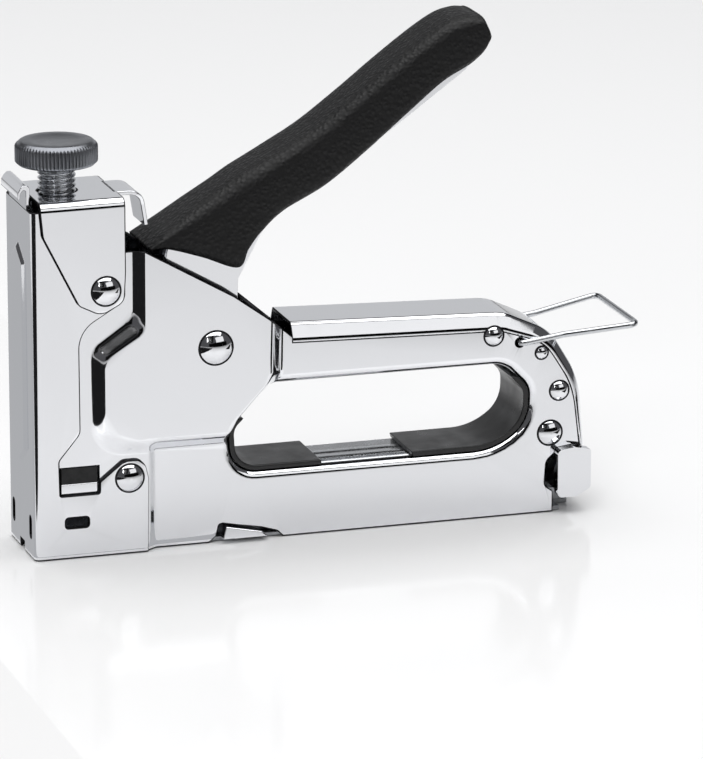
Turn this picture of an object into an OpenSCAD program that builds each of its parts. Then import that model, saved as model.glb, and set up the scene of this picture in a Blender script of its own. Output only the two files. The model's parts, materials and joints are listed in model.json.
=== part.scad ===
// Hand staple gun: folded sheet body with a hand loop, chromed nose, squeeze handle and spring striker.
// X runs from the nose to the rear, Y is across, Z is up; the base stands on Z = 0.

/* [Body] */
// Length from the nose's front face to the rear end of the body
body_l = 167; // [150:1:210]
// Width over the nose cover's sides
nose_w = 29; // [27:0.5:36]
// Thickness of the body, cover and cap sheet
wall = 1.2; // [0.8:0.1:1.4]
// Width of the body over its flat side panels
panel_w = 23; // [22.4:0.2:25]
// How far the raised side bosses stand out from the nose panels
boss_rise = 2.2; // [1.5:0.1:3]
// Height of the top of the hand bar at its front end
bar_top = 63.1; // [60:0.1:64]
// Height of the upper edge of the hand loop
loop_top = 45.8; // [42:0.1:48]
// Height of the lower edge of the hand loop
loop_bottom = 20.1; // [20:0.1:23]

/* [Nose] */
// Depth of the nose cover's foot from front to rear
nose_foot = 33.6; // [32:0.1:36]
// Height of the cap's top above the base
cap_top = 104.7; // [104:0.1:125]
// Width of the raised rib on the front face
rib_w = 15; // [10:0.5:18]

/* [Striker] */
// Thickness of the driver blade
blade_t = 1.2; // [0.9:0.05:1.5]
// Width of the driver blade
blade_w = 11.2; // [10:0.1:12]
// Outer diameter of the power spring
power_od = 16; // [12:0.1:16.2]
// Wire diameter of the power spring
power_wire = 2.2; // [1.6:0.1:2.6]
// Height of the spring seat on the striker carrier
carrier_top = 47; // [45:0.1:49]

/* [Adjuster] */
// Diameter of the adjusting screw
screw_d = 10.9; // [8:0.1:13]
// Diameter of the adjusting knob
knob_d = 23.6; // [20:0.1:24.6]
// Thickness of the adjusting knob
knob_t = 7; // [5:0.1:12]

/* [Handle] */
// Diameter of the handle's pivot pin
pivot_d = 6; // [4:0.1:8]
// Width over the vinyl grip
grip_w = 22; // [20:0.5:24]
// Width over the handle channel
channel_w = 19; // [17.6:0.2:19.6]
// Diameter of the lift roller
roller_d = 6; // [5:0.1:6.6]

/* [Magazine] */
// Width over the rail that the staples ride on
rail_w = 8; // [7:0.1:8.4]
// Diameter of the feed rod
rod_d = 3; // [2:0.1:3.4]
// Outer diameter of the pusher spring
feed_spring_od = 5.2; // [4.6:0.1:5.4]

/* [Bail] */
// Diameter of the bail wire
bail_d = 1.8; // [1.2:0.1:2.4]

/* [Fasteners] */
// Head diameter of the two rivets that hold the cap and the cover's foot
rivet_head_d = 8.2; // [6:0.1:9]
// Head diameter of the rear body rivets
small_head_d = 5.8; // [4:0.1:7]

/* [Hidden] */
$fn = 64;

arc_steps = 8;
gap = 0.3;
fit = 0.05;
nose_half = nose_w / 2;
plate_half = nose_half - wall;
panel_half = panel_w / 2;
boss_half = plate_half + boss_rise;
flat_half = panel_half - 2.3;
ear_half = nose_half + wall;
through = 2 * (ear_half + 10);
cap_bend_in = 1.4;

// Places that move with the body's length.
nominal_l = 167;
tail = body_l - nominal_l;

lip_reach = 2.4;
screw_x = 11.5;
pivot = [53.6, 59];
roller_at = [26, 48];
arm_rivet_at = [48, 73];
cap_rivet_at = [21.4, 78.2];
foot_rivet_at = [28.1, 22.4];
rear_rivet_at = [[138.5 + tail, 54.6], [158.7 + tail, 36.6]];
tail_rivet_at = [153.2 + tail, 48.4];
latch_pin_at = [155.9 + tail, 24];
bail_at = [146.5 + tail, 52];
bail_tilt = 7.4;
bail_reach = 34.3;
bail_spread_l = 17.5;
rod_z = 15.9;
origin_x = (bail_at.x + bail_reach * cos(bail_tilt) + bail_d / 2 - lip_reach) / 2;

// Shank diameters, and the cap's height above its usual one.
rivet_shank_d = 5;
small_shank_d = 3.6;
tail_shank_d = 2.6;
latch_pin_d = 5.2;
arm_rivet_d = 4;
roller_pin_d = 3;
cap_rise = cap_top - 104.7;
plateau_eye = [50, 52];

// ---- outlines in the X-Z plane -------------------------------------------------------------

function unit(v) = v / norm(v);
function flat(p) = [p[0], p[1]];

// A rounded corner at b, met by straight lines from a and to c.
function fillet(a, b, c, r, n) =
    let (u = unit(a - b), v = unit(c - b), half = acos(u * v) / 2)
    let (centre = b + unit(u + v) * r / sin(half), first = b + u * r / tan(half) - centre)
    let (last = b + v * r / tan(half) - centre)
    let (start = atan2(first.y, first.x), turn = atan2(last.y, last.x) - start)
    let (sweep = turn > 180 ? turn - 360 : turn < -180 ? turn + 360 : turn)
    [for (i = [0:n]) centre + r * [cos(start + sweep * i / n), sin(start + sweep * i / n)]];

// A path through points [x, z, radius], rounded at each that has a radius.
function path(pts, n = arc_steps) =
    [for (i = [0:len(pts) - 1])
        let (p = pts[i])
        each (p[2] == 0 ? [flat(p)]
            : fillet(flat(pts[(i + len(pts) - 1) % len(pts)]), flat(p),
                flat(pts[(i + 1) % len(pts)]), p[2], n))];

function normal(a, b) = let (d = unit(flat(b) - flat(a))) [d.y, -d.x];
function bends_left(m, n) = m.x * n.y - m.y * n.x > 0;

// The outline moved outwards by e; its points run anticlockwise.
function grow(pts, e) =
    [for (i = [0:len(pts) - 1])
        let (p = pts[i], m = normal(pts[(i + len(pts) - 1) % len(pts)], p))
        let (n = normal(p, pts[(i + 1) % len(pts)]), q = flat(p) + e * (m + n) / (1 + m * n))
        [q.x, q.y, p[2] == 0 ? 0 : max(0.3, p[2] + (bends_left(m, n) ? e : -e))]];

loop_pts = [
    [59.3, loop_bottom, 8], [138.5 + tail, loop_bottom, 20], [149.6 + tail, 27.4, 12],
    [149.6 + tail, 38.2, 6], [142.4 + tail, loop_top, 9], [71.3, loop_top, 6],
    [58.6, 33.6, 6],
];

// The raised boss and the foot of its ramp, both carried on above the sloping free edge.
boss_pts = [
    [33.4, 100, 0], [33.4, 64.9, 5], [21.5, 58, 5], [21.4, 33.8, 9.5], [58, 33.5, 1.5],
    [59.8, 37.4, 5], [69.2, 48.2, 5], [69.4, 100, 0],
];
foot_pts = [
    [29.4, 100, 0], [29.4, 69.2, 5], [16.9, 61, 6], [16.6, 28.8, 10], [58.4, 28.6, 1.5],
    [60.8, 36, 5], [75.2, 48.6, 3], [75.9, 100, 0],
];
slope_cut = [
    [27, 88.7], [33.1, 88.7], [59.2, 73.7], [69.7, 66.1], [77.8, 59.2],
    [77.8, 130 + cap_rise], [27, 130 + cap_rise],
];

// Edges of the hand bar's fold, from the rear foot up and forward: the crown's and the side panel's.
bar_front = 77.8;
crown_pts = [
    [nominal_l + tail, 18.1, 0], [165.6 + tail, 39.5, 28], [156.6 + tail, 54.3, 15],
    [142.5 + tail, bar_top - 2.3, 14], [bar_front, bar_top, 0],
];
edge_pts = [
    [166.3 + tail, 18.7, 0], [164 + tail, 38, 28], [155 + tail, 52.4, 15],
    [141 + tail, bar_top - 6.1, 14], [bar_front, bar_top - 4.4, 0],
];
bend_in = wall / 4;
reach_in = 6;
edge_in_pts = [
    [166.3 + tail - wall, 18, 0], [164 + tail - wall, 38, 28], [155 + tail - wall * 0.7, 52.4 - bend_in, 15],
    [141 + tail, bar_top - 6.1 - bend_in, 14], [bar_front - reach_in, bar_top - 4.3 - bend_in, 0],
];
crown_in_pts = [
    [nominal_l + tail - wall, 17, 0], [165.6 + tail - wall, 39.5, 28],
    [156.6 + tail - wall * 0.8, 54.3 - wall * 0.8, 15],
    [142.5 + tail, bar_top - 2.3 - wall, 14], [bar_front - reach_in, bar_top + 0.1 - wall, 0],
];

panel_bottom = [
    [34, 0, 0], [52.4, 0, 0], [54.5, 1.7, 0], [55.4, 5.4, 0], [68, 3.2, 0], [72.8, 1.7, 0],
    [74.5, 0, 0], [157 + tail, 0, 0], [157 + tail, 6.4, 1], [154.4 + tail, 8, 2],
    [154.9 + tail, 15.5, 3], [158.6 + tail, 18.7, 3],
];
panel_top = [[bar_front, 90, 0], [34, 90, 0]];
cover_top = cap_top - wall - cap_bend_in;
nose_top = cover_top - gap;
nose_pts = [
    [wall, 0, 0], [nose_foot, 0, 0], [nose_foot, 62, 0], [31, 66, 0], [31, 88.7, 0], [27, 88.7, 0],
    [27, nose_top, 0], [wall, nose_top, 0],
];
window = [[7.9, 18.6], [19.2, 26.4]];

grip_pts = [
    [35.2, 87.7, 0.6], [58.3, 104, 30], [88, 120.4, 60], [119.5, 144.3, 9], [134.9, 150.2, 3],
    [138.6, 141.8, 4.5], [132.6, 131.6, 5], [91, 102.9, 60], [74, 94.4, 9], [62.9, 78.1, 0.8],
    [41, 86.8, 8],
];
core_pts = [
    [46, 50.6, 7], [61.2, 50.6, 7], [62, 77.2, 1], [72.4, 96.6, 9], [92, 106.2, 40],
    [130.6, 134, 3], [134.4, 142.2, 3], [132, 146.6, 2], [120.8, 141.9, 9], [89, 117.6, 60],
    [59.3, 101.2, 30], [41.8, 89.8, 1], [40.7, 84.8, 1], [45, 66, 8],
];

// ---- helpers -------------------------------------------------------------------------------

// Extrudes an X-Z outline across the body from y0 to y1.
module across(y0, y1) rotate([90, 0, 0]) translate([0, 0, -y1]) linear_extrude(y1 - y0) children();
module both_sides() {
    children();
    mirror([0, 1, 0]) children();
}
module bar_y(at, r, y0, y1) across(y0, y1) translate(at) circle(r);
module in_frame() translate([-origin_x, 0, 0]) children();

// A plate outline that tapers from a round end at a to one at b.
module link(a, b, ra, rb) {
    n = let (d = unit(b - a)) [-d.y, d.x];
    translate(a) circle(ra);
    translate(b) circle(rb);
    polygon([a + ra * n, a - ra * n, b - rb * n, b + rb * n]);
}

// A round bar from p to q.
module wire(p, q, r) {
    d = q - p;
    translate(p) rotate([0, acos(d.z / norm(d)), atan2(d.y, d.x)]) cylinder(r = r, h = norm(d));
}

// A low dome, flat side at z = 0, and the shank below it.
module dome(d, rise, shank_d, shank_l) {
    r = (d * d / 4 + rise * rise) / (2 * rise);
    rotate_extrude() polygon(concat(
        [[0, 0], [d / 2, 0]],
        [for (i = [1:7]) let (x = d / 2 * (1 - i / 8)) [x, sqrt(r * r - x * x) - (r - rise)]],
        [[0, rise]]
    ));
    translate([0, 0, -shank_l]) cylinder(d = shank_d, h = shank_l + rise / 4);
}
module dome_y(at, y, d, rise, shank_d, shank_l)
    translate([at.x, -y, at.y]) rotate([90, 0, 0]) dome(d, rise, shank_d, shank_l);

// ---- body ----------------------------------------------------------------------------------

function at_height(pts, y) = [for (p = pts) [p.x, y, p.y]];
function foot_half(x) = x < nose_foot ? plate_half
    : x > nose_foot + 3 ? panel_half
    : plate_half + (panel_half - plate_half) * (x - nose_foot) / 3;

// The boss on one side as a closed solid: its top, its ramp and a straight block behind the ramp.
module boss_block(depth) {
    top = path(boss_pts);
    foot = path(foot_pts);
    n = len(top);
    root = panel_half - 4 - depth;
    rings = concat(
        at_height(top, boss_half - depth),
        [for (p = foot) [p.x, foot_half(p.x) - depth, p.y]],
        at_height(foot, root),
        [[plateau_eye.x, boss_half - depth, plateau_eye.y], [plateau_eye.x, root, plateau_eye.y]]
    );
    polyhedron(rings, concat(
        [for (k = [0:1], i = [0:n - 1]) each
            let (j = (i + 1) % n, a = k * n + i, b = k * n + j, c = a + n, d = b + n)
            [[a, c, b], [b, c, d]]],
        [for (i = [0:n - 1]) [3 * n, i, (i + 1) % n]],
        [for (i = [0:n - 1]) [3 * n + 1, 2 * n + (i + 1) % n, 2 * n + i]]
    ));
}

// The rounded back of the hand bar as a closed solid between the crown's and the panels' edges.
module bar_block(crown, edge, crown_half, edge_half) {
    t = path(crown);
    e = path(edge);
    n = len(t);
    polyhedron(
        [for (i = [0:n - 1]) each [
            [e[i].x, -edge_half, e[i].y], [t[i].x, -crown_half, t[i].y],
            [t[i].x, crown_half, t[i].y], [e[i].x, edge_half, e[i].y]]],
        concat(
            [for (i = [0:n - 2], k = [0:3]) each
                let (a = 4 * i + k, b = 4 * i + (k + 1) % 4, c = a + 4, d = b + 4)
                [[a, c, b], [b, c, d]]],
            [[0, 1, 2], [0, 2, 3], [4 * n - 4, 4 * n - 2, 4 * n - 3], [4 * n - 4, 4 * n - 1, 4 * n - 2]]
        )
    );
}

module body_outside() {
    across(-plate_half, plate_half) polygon(path(nose_pts));
    across(-panel_half, panel_half) polygon(path(concat(panel_bottom, edge_pts, panel_top)));
    linear_extrude(30) polygon([
        [20, -plate_half], [nose_foot, -plate_half], [nose_foot + 3, -panel_half],
        [nose_foot + 3, panel_half], [nose_foot, plate_half], [20, plate_half],
    ]);
    bar_block(crown_pts, edge_pts, flat_half, panel_half);
    both_sides() boss_block(0);
}

module body_inside() {
    inner = panel_half - wall;
    across(-plate_half + wall, plate_half - wall) polygon([
        [-5, -1], [nose_foot, -1], [nose_foot, 62], [31, 66], [31, 150], [-5, 150],
    ]);
    across(-inner, inner) polygon(concat(
        [[30, -1], [170 + tail, -1], [170 + tail, 18]], path(edge_in_pts),
        [[bar_front - reach_in, 61], [bar_front, 61], [bar_front, 100], [30, 100]]
    ));
    translate([0, 0, -1]) linear_extrude(32) polygon([
        [20, wall - plate_half], [nose_foot, wall - plate_half], [nose_foot + 3, -inner],
        [nose_foot + 3, inner], [nose_foot, plate_half - wall], [20, plate_half - wall],
    ]);
    bar_block(crown_in_pts, edge_in_pts, flat_half - 0.7, inner);
    both_sides() boss_block(wall);
}

module body_shell() in_frame() color("gainsboro") difference() {
    body_outside();
    difference() {
        body_inside();
        across(-through, through) polygon(path(grow(loop_pts, wall)));
    }
    across(-through, through) polygon(path(loop_pts));
    across(-through, through) polygon(slope_cut);
    across(-through, through) translate(window[0]) square(window[1] - window[0]);
    bar_y(pivot, pivot_d / 2 + fit, -through, through);
    bar_y(cap_rivet_at, rivet_shank_d / 2 + fit, -through, through);
    bar_y(foot_rivet_at, rivet_shank_d / 2 + fit, -through, through);
    bar_y(bail_at, bail_d / 2 + 0.4, -through, through);
    for (p = rear_rivet_at) bar_y(p, small_shank_d / 2 + fit, -through, through);
    bar_y(tail_rivet_at, tail_shank_d / 2 + fit, -through, through);
    bar_y(latch_pin_at, latch_pin_d / 2 + fit, -through, through);
}

// ---- nose ----------------------------------------------------------------------------------

cover_side = [
    [0, 0, 0], [nose_foot, 0, 0], [nose_foot + 0.3, 22, 1], [32.6, 27.6, 3.4], [26.5, 27.6, 3],
    [19.3, 22, 0.6], [19.2, 18.6, 0.6], [7.6, 18.6, 0.6], [7.4, 29, 2], [13.8, 36.6, 4],
    [13.7, 66.5, 9], [27.5, 74.6, 4], [27.5, cover_top, 0], [0, cover_top, 0],
];

module rib(w, low, high, thick) rotate([90, 0, -90]) linear_extrude(thick) polygon(path([
    [0, low, 1.5], [w / 2, low + 5, 2], [w / 2, high - 5, 1.5], [0, high, 1],
    [-w / 2, high - 5, 1.5], [-w / 2, low + 5, 2],
], 3));

front_slot_w = 2.4;
front_slot_z = [6.9, 11];
module nose_cover() in_frame() color("lightgray") difference() {
    union() {
        intersection() {
            linear_extrude(cover_top) difference() {
                polygon(path([
                    [0, -nose_half, 2], [60, -nose_half, 0], [60, nose_half, 0], [0, nose_half, 2],
                ]));
                translate([wall, -plate_half]) square([60, 2 * plate_half]);
            }
            across(-through, through) polygon(path(cover_side));
        }
        // The hooked lip at the top of the front plate.
        translate([0, 0, cap_rise]) across(-9.5, 9.5) polygon([
            [0, 100], [wall, 100], [wall, 108], [0.6, 109], [-0.6, 109], [-lip_reach, 106.8],
            [-lip_reach, 104.9], [-lip_reach + 1.1, 104.9], [-lip_reach + 1.1, 106.3], [0, 107.6],
        ]);
        rib(rib_w, 25.3, 91.1, 0.8);
    }
    // The rib is pressed out, so it is hollow behind.
    translate([wall - 0.001, 0, 0]) rib(rib_w - 2, 26.5, 89.9, wall);
    both_sides() {
        for (z = front_slot_z) translate([-1, 9.5, z]) rotate([0, 90, 0]) cylinder(d = front_slot_w, h = 3);
        translate([-1, 9.5 - front_slot_w / 2, front_slot_z[0]])
            cube([3, front_slot_w, front_slot_z[1] - front_slot_z[0]]);
    }
    translate([-1, -2.3, -1]) cube([wall + 2, 4.6, 3.5]);
    across(-through, through) translate([9.1, 8.7]) square([6.8, 3.6]);
    bar_y(foot_rivet_at, rivet_shank_d / 2 + fit, -through, through);
    bar_y(cap_rivet_at, rivet_shank_d / 2 + fit, -through, through);
}

cap_ear = [
    [2.4, cap_top + 1, 0], [3.1, 95, 3], [13.4, 74.3, 3], [20, 71, 5], [26.8, 74.6, 3.5],
    [27.3, 83, 0], [27.3, cap_top + 1, 0],
];

module cap_section(half, top, r) polygon(path([
    [-half, 60, 0], [half, 60, 0], [half, top, r], [-half, top, r],
]));

module top_cap() in_frame() color("silver") difference() {
    union() {
        intersection() {
            rotate([90, 0, 90]) linear_extrude(40) difference() {
                cap_section(ear_half, cap_top, 2.6);
                cap_section(ear_half - wall, cap_top - wall, cap_bend_in);
            }
            across(-through, through) polygon(path(cap_ear));
        }
        // The tongue that curves down behind the cap.
        translate([0, 0, cap_rise]) across(-7, 7) polygon(concat(
            path([[24, 104.7, 0], [34, 104.7, 8], [36.6, 94, 0]]),
            path([[35.4, 94, 0], [33, 103.5, 7], [24, 103.5, 0]])
        ));
    }
    translate([screw_x, 0, 90]) cylinder(d = screw_d + gap, h = 30 + cap_rise);
    bar_y(cap_rivet_at, rivet_shank_d / 2 + fit, -through, through);
}

bush_l = 4.5;
module screw_bush() in_frame() color("darkgray")
    translate([screw_x, 0, cap_top - wall - bush_l]) difference() {
        cylinder(d = screw_d + 5.6, h = bush_l);
        translate([0, 0, -1]) cylinder(d = screw_d + 0.16, h = bush_l + 2);
    }

// ---- magazine ------------------------------------------------------------------------------

slot_back = wall + gap + blade_t + gap;
track_half = rail_w / 2 + 1.6;
rail_top = rod_z - feed_spring_od / 2 - 0.5;
base_half = panel_half - wall - 0.1;
channel_end = 159.5 + tail;

module magazine_channel() in_frame() color("silver") {
    translate([slot_back, -base_half, 0]) cube([channel_end - slot_back, 2 * base_half, wall]);
    both_sides() across(track_half, track_half + wall) polygon([
        [slot_back, 0], [150 + tail, 0], [150 + tail, 14], [slot_back, 14],
    ]);
    // Tail strip under the latch.
    translate([channel_end - 1, -4, 0]) cube([5.5, 8, wall]);
}

module channel_lugs() in_frame() color("gainsboro") both_sides() across(base_half, nose_half - 0.5)
    polygon([[55.9, wall], [56.8, 5], [67.4, 2.8], [69.3, wall]]);

module staple_rail() in_frame() color("silver") difference() {
    across(-rail_w / 2, rail_w / 2) polygon([
        [slot_back, wall], [channel_end + 4.5, wall], [channel_end + 4.5, 5], [153 + tail, 5],
        [150 + tail, rail_top], [slot_back, rail_top],
    ]);
    translate([slot_back - 1, wall - rail_w / 2, 0]) cube([190 + tail, rail_w - 2 * wall, rail_top - wall]);
}

// The bar and the rubber on it lie across the nose, from one side window to the other.
bar_h = 3;
bumper_low = window[0].y + 0.1 + bar_h;
bumper_l = window[1].x - window[0].x - 0.4;
module bumper_bar() in_frame() color("gainsboro")
    translate([window[0].x + 0.2, -plate_half, window[0].y + 0.1]) cube([bumper_l, 2 * plate_half, bar_h]);
module bumper() in_frame() color("#202020")
    translate([window[0].x + 0.2, -plate_half, bumper_low])
        cube([bumper_l, 2 * plate_half, window[1].y - bumper_low]);

// ---- loop inserts --------------------------------------------------------------------------

lining = 1.6;
module insert_strip(clip) in_frame() color("#1a1a1a") across(0.9 - panel_half, panel_half - 0.9)
    intersection() {
        difference() {
            polygon(path(loop_pts));
            polygon(path(grow(loop_pts, -lining)));
        }
        polygon(clip);
    }
module front_insert() insert_strip([[50, 36], [50, 10], [88.5, 10], [85, 30], [64, 36]]);
module rear_insert() insert_strip([
    [117.5 + tail, 10], [160 + tail, 10], [160 + tail, 41.5], [145 + tail, 41.5], [120 + tail, 30],
    [113 + tail, 24],
]);

// ---- fasteners -----------------------------------------------------------------------------

module cap_rivets() in_frame() color("gainsboro") both_sides() {
    dome_y(cap_rivet_at, ear_half, rivet_head_d + 0.2, 1.8, rivet_shank_d, ear_half - plate_half + wall);
    bar_y(cap_rivet_at, 3.4, -(plate_half - wall), -(plate_half - wall - 0.8));
}
module foot_rivet() in_frame() color("gainsboro") both_sides()
    dome_y(foot_rivet_at, nose_half, rivet_head_d, 1.8, rivet_shank_d, nose_half);
module rear_rivets() in_frame() color("gainsboro") both_sides() for (p = rear_rivet_at)
    dome_y(p, panel_half, small_head_d, 1.4, small_shank_d, panel_half);
module tail_rivet() in_frame() color("gainsboro") both_sides()
    dome_y(tail_rivet_at, panel_half, 3.8, 0.9, tail_shank_d, panel_half);
module latch_pin() in_frame() color("gainsboro") both_sides()
    dome_y(latch_pin_at, panel_half, 7.4, 1.5, latch_pin_d, panel_half);
module pivot_pin() in_frame() color("gainsboro") both_sides()
    dome_y(pivot, boss_half, pivot_d + 3.9, 2.1, pivot_d, boss_half);

cheek_out = channel_w / 2;
cheek_t = 1.5;
module pivot_spacers() in_frame() color("silver") both_sides()
    across(cheek_out + 0.1, boss_half - wall) difference() {
        translate(pivot) circle(pivot_d / 2 + 2);
        translate(pivot) circle(pivot_d / 2 + fit);
    }

// ---- handle --------------------------------------------------------------------------------

fork_in = roller_d / 2 + 1;
fork_out = fork_in + 2;

module handle_channel() in_frame() color("lightgray") difference() {
    union() {
        both_sides() across(cheek_out - cheek_t, cheek_out) polygon(path(core_pts));
        across(cheek_t - cheek_out, cheek_out - cheek_t) difference() {
            polygon(path(core_pts));
            translate([0.9, -1.3]) polygon(path(core_pts));
            translate([30, 20]) square([60, 68]);
        }
    }
    bar_y(pivot, pivot_d / 2 + fit, -through, through);
    bar_y(arm_rivet_at, arm_rivet_d / 2, -through, through);
}

module handle_grip() in_frame() color("#181818") difference() {
    across(-grip_w / 2, grip_w / 2) polygon(path(grip_pts));
    across(-cheek_out, cheek_out) polygon(path(core_pts));
}

module lift_arm() in_frame() color("dimgray") difference() {
    both_sides() across(fork_in, fork_out) {
        link(roller_at, pivot, roller_d / 2 - 0.4, 7);
        link(pivot, arm_rivet_at, 7, 4);
    }
    bar_y(pivot, pivot_d / 2 + fit, -through, through);
    bar_y(roller_at, roller_pin_d / 2, -through, through);
    bar_y(arm_rivet_at, arm_rivet_d / 2, -through, through);
}
module arm_rivet() in_frame() color("gainsboro")
    bar_y(arm_rivet_at, arm_rivet_d / 2, -cheek_out - 0.1, cheek_out + 0.1);
module roller_pin() in_frame() color("silver")
    bar_y(roller_at, roller_pin_d / 2, -fork_out - 0.6, fork_out + 0.6);
module lift_roller() in_frame() color("gray") across(gap / 2 - fork_in + 0.1, fork_in - gap / 2 - 0.1)
    difference() {
        translate(roller_at) circle(roller_d / 2);
        translate(roller_at) circle(roller_pin_d / 2 + fit);
    }

function pivot_leg(x, z, y) = [pivot.x + x, y, pivot.y + z];

module return_spring() in_frame() color("gray") {
    across(-fork_in + 0.5, fork_in - 0.5) difference() {
        translate(pivot) circle(pivot_d / 2 + 2);
        translate(pivot) circle(pivot_d / 2 + 0.5);
    }
    wire([pivot.x + 4.2, 2, pivot.y], pivot_leg(12.4, -6, 2), 0.7);
    wire(pivot_leg(-3, 3, -2), pivot_leg(-2.2, 18, -2), 0.7);
}

// ---- striker -------------------------------------------------------------------------------

blade_x = wall + gap;
carrier_low = window[1].y + 0.1;
post_x = screw_x + power_od / 2 - 0.1;

module driver_blade() in_frame() color("gray")
    translate([blade_x, -blade_w / 2, 0.6]) cube([blade_t, blade_w, 59.4]);

module striker_carrier() in_frame() color("darkgray") {
    back = blade_x + blade_t;
    ledge = roller_at.y + roller_d / 2 + gap;
    half = plate_half - wall - 1.5;
    translate([back, -half, carrier_low]) cube([1.6, 2 * half, carrier_top - carrier_low]);
    translate([back, -half, carrier_top - 2.4]) cube([post_x + 1.2 - back, 2 * half, 2.4]);
    both_sides() across(half - 1.6, half) polygon([
        [back, carrier_low], [back + 6, carrier_low], [post_x + 1.2, carrier_top - 8],
        [post_x + 1.2, carrier_top], [back, carrier_top],
    ]);
    across(-fork_in + gap, fork_in - gap) polygon([
        [post_x, carrier_top - 1], [post_x + 1.2, carrier_top - 1], [post_x + 1.2, ledge],
        [29.5, ledge], [29.5, ledge + 2.6], [post_x, ledge + 2.6],
    ]);
    translate([screw_x, 0, carrier_top]) cylinder(d = power_od - 2 * power_wire - 0.6, h = 5);
}

seat_low = 91.6 + cap_rise;
module power_spring() in_frame() color("gray") translate([screw_x, 0, carrier_top]) difference() {
    cylinder(d = power_od - 0.4, h = seat_low - carrier_top);
    translate([0, 0, -1]) cylinder(d = power_od - 2 * power_wire, h = seat_low - carrier_top + 2);
}

module spring_seat() in_frame() color("darkgray") {
    half = plate_half - wall - gap;
    translate([2.2, -half, seat_low]) cube([19, 2 * half, 2]);
    translate([screw_x, 0, seat_low - 4]) cylinder(d = power_od - 2 * power_wire - 0.6, h = 4.5);
}

// ---- adjuster ------------------------------------------------------------------------------

knob_low = 112.4 + cap_rise;
module adjusting_screw() in_frame() color("silver") translate([screw_x, 0, seat_low + 2])
    cylinder(d = screw_d, h = knob_low + knob_t - 1 - seat_low - 2);

module adjusting_knob() in_frame() color("slategray") translate([screw_x, 0, knob_low]) difference() {
    rotate_extrude() polygon([
        [0, 0], [knob_d / 2 - 1, 0], [knob_d / 2, 1], [knob_d / 2, knob_t - 1.5],
        [knob_d / 2 - 1.5, knob_t], [0, knob_t],
    ]);
    translate([0, 0, -1]) cylinder(d = screw_d, h = knob_t);
}

// ---- bail, latch and feed ------------------------------------------------------------------

// A bend in the bail wire that turns from +X by the angle given.
module wire_bend(r, bend, turn) rotate_extrude(angle = turn) translate([bend, 0]) circle(r);

// The bail lies in one sloping plane: hooked ends in the body, two spreading legs and a cross piece.
module wire_bail() in_frame() color("silver") {
    r = bail_d / 2;
    hook = r + 0.6;
    bend = r + 0.3;
    corner = r + 1.6;
    spread_cos = 0.96;
    spread_sin = 0.28;
    spread_angle = atan2(spread_sin, spread_cos);
    leg_y = panel_half + r + gap;
    quarter_x = bail_reach - corner;
    spread_x = quarter_x - bend * spread_sin - bail_spread_l * spread_cos;
    bend_x = spread_x - bend * spread_sin;
    step_y = bend * (1 - spread_cos);
    far_y = leg_y + step_y + bail_spread_l * spread_sin;
    corner_y = far_y + step_y - corner;
    translate([bail_at.x, 0, bail_at.y]) rotate([0, -bail_tilt, 0]) {
        both_sides() {
            translate([0, leg_y - 3, 0]) rotate([-90, 0, 0]) cylinder(r = r, h = 3 - hook);
            translate([hook, leg_y - hook, 0]) rotate([0, 0, 90]) wire_bend(r, hook, 90);
            translate([hook, leg_y, 0]) rotate([0, 90, 0]) cylinder(r = r, h = bend_x - hook);
            translate([bend_x, leg_y + bend, 0]) rotate([0, 0, -90]) wire_bend(r, bend, spread_angle);
            translate([spread_x, leg_y + step_y, 0]) rotate([0, 0, spread_angle]) rotate([0, 90, 0])
                cylinder(r = r, h = bail_spread_l);
            translate([quarter_x, far_y + step_y - bend, 0]) rotate([0, 0, 90])
                wire_bend(r, bend, spread_angle);
            translate([quarter_x, corner_y, 0]) wire_bend(r, corner, 90);
        }
        translate([bail_reach, -corner_y, 0]) rotate([-90, 0, 0]) cylinder(r = r, h = 2 * corner_y);
    }
}

latch_back = 167.5 + tail;
module rear_latch() in_frame() color("gainsboro") {
    inner = panel_half - wall - gap;
    wing_in = panel_half + gap;
    wing_out = nose_half + 0.5;
    difference() {
        across(-inner, inner) polygon([
            [158.5 + tail, 6], [latch_back, 6], [latch_back, 17.5], [158.5 + tail, 17.5],
        ]);
        across(wall + 1 - inner, inner - wall - 1) polygon([
            [160.5 + tail, 4], [latch_back - 1.5, 4], [latch_back - 1.5, 13], [160.5 + tail, 13],
        ]);
        translate([150 + tail, 0, rod_z]) rotate([0, 90, 0]) cylinder(d = rod_d, h = 12);
    }
    both_sides() {
        across(wing_in, wing_out) polygon(path([
            [157.3 + tail, 5, 1.5], [163 + tail, 5, 3], [latch_back, 7.4, 1.5], [latch_back, 19, 0.8],
            [162.5 + tail, 20, 2], [157.3 + tail, 19.3, 1.5],
        ]));
        across(inner - 1, wing_in + 1) polygon([
            [160 + tail, 7], [latch_back, 7.5], [latch_back, 16.5], [160 + tail, 16.5],
        ]);
    }
}

pusher_x = slot_back + 0.4;
boss_x = pusher_x + 10;
boss_l = 8;
rod_start = boss_x - 2;

module feed_rod() in_frame() color("silver") translate([rod_start, 0, rod_z]) rotate([0, 90, 0])
    cylinder(d = rod_d, h = 162 + tail - rod_start);

module pusher() in_frame() color("darkgray") difference() {
    union() {
        translate([pusher_x, gap - track_half, wall + 0.4])
            cube([18, 2 * (track_half - gap), rail_top + 1.6 - wall - 0.4]);
        translate([boss_x, -3, rail_top + 0.4])
            cube([boss_l, 6, window[0].y - 0.5 - rail_top - 0.4]);
    }
    translate([pusher_x - 1, -rail_w / 2 - gap, -1]) cube([20, rail_w + 2 * gap, rail_top + gap + 1]);
    translate([0, 0, rod_z]) rotate([0, 90, 0]) cylinder(d = rod_d + 0.1, h = 60);
}

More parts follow.
